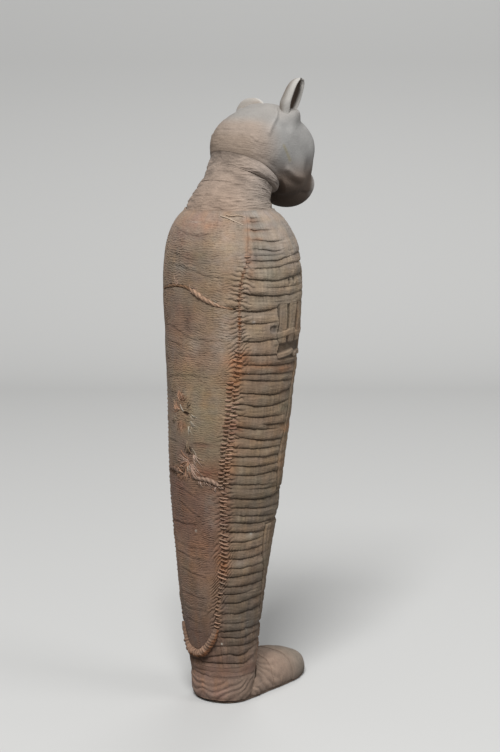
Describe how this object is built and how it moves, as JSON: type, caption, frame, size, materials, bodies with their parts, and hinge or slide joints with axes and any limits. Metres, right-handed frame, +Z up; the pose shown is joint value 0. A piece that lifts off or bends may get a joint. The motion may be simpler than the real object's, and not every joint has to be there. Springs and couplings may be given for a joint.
{
  "type": "egyptian cat mummy",
  "caption": "Standing cat mummy with a moulded head and upright ear, pleated linen bands down the front and sides, a plain cloth back laced along its edges, and a flat forward foot.",
  "frame": {"origin": "on the floor under the ankle, in the flat underside of the sole cloth", "axes": "+Z up along the body, -Y the way the cat faces and its foot points, -X its right side"},
  "size_m": [0.106, 0.1255, 0.4441],
  "materials": {
    "head_plaster": "matte, smooth plaster-stiffened linen, grey with stains",
    "neck_linen": "matte plain-weave linen",
    "back_linen": "matte plain-weave linen, stained",
    "reddish_linen": "matte plain-weave linen, reddish brown",
    "front_linen": "matte folded linen strips",
    "seam_thread": "matte twisted thread and rolled cloth edge, orange brown",
    "foot_linen": "matte linen strips",
    "padding_linen": "matte coarse linen",
    "dried_cat": "matte dried skin",
    "bone": "matte dry bone"
  },
  "bodies": {
    "root": {"head_mask": "head_plaster", "right_ear": "head_plaster", "left_ear": "head_plaster", "throat_roll": "head_plaster", "neck_band_lower": "neck_linen", "neck_band_middle": "neck_linen", "neck_band_upper": "neck_linen", "shoulder_cloth": "neck_linen", "back_cloth_upper": "back_linen", "back_cloth_middle": "back_linen", "back_cloth_lower": "reddish_linen", "heel_cloth": "reddish_linen", "front_band_01": "front_linen", "front_band_02": "front_linen", "front_band_03": "front_linen", "front_band_04": "front_linen", "front_band_05": "front_linen", "front_band_06": "front_linen", "front_band_07": "front_linen", "front_band_08": "front_linen", "front_band_09": "front_linen", "front_band_10": "front_linen", "front_band_11": "front_linen", "front_band_12": "front_linen", "front_band_13": "front_linen", "front_band_14": "front_linen", "front_band_15": "front_linen", "front_band_16": "front_linen", "front_band_17": "front_linen", "front_band_18": "front_linen", "front_band_19": "front_linen", "chest_lattice": "front_linen", "upper_apron": "front_linen", "lower_apron": "front_linen", "upper_rolled_hem": "seam_thread", "torn_rolled_edge": "seam_thread", "bottom_rolled_hem": "seam_thread", "right_seam_lacing": "seam_thread", "left_seam_lacing": "seam_thread", "ankle_band_1": "foot_linen", "ankle_band_2": "foot_linen", "foot_cloth": "foot_linen", "instep_band": "foot_linen", "toe_band": "foot_linen", "sole_cloth": "foot_linen", "under_wrap": "padding_linen", "body_padding": "padding_linen", "head_stuffing": "padding_linen", "foot_stuffing": "padding_linen", "cat_trunk": "dried_cat", "cat_neck": "dried_cat", "cat_right_foreleg": "dried_cat", "cat_left_foreleg": "dried_cat", "cat_right_hind_leg": "dried_cat", "cat_left_hind_leg": "dried_cat", "cat_tail": "dried_cat", "cat_skull": "bone", "cat_jaw": "bone"}
  },
  "joints": []
}
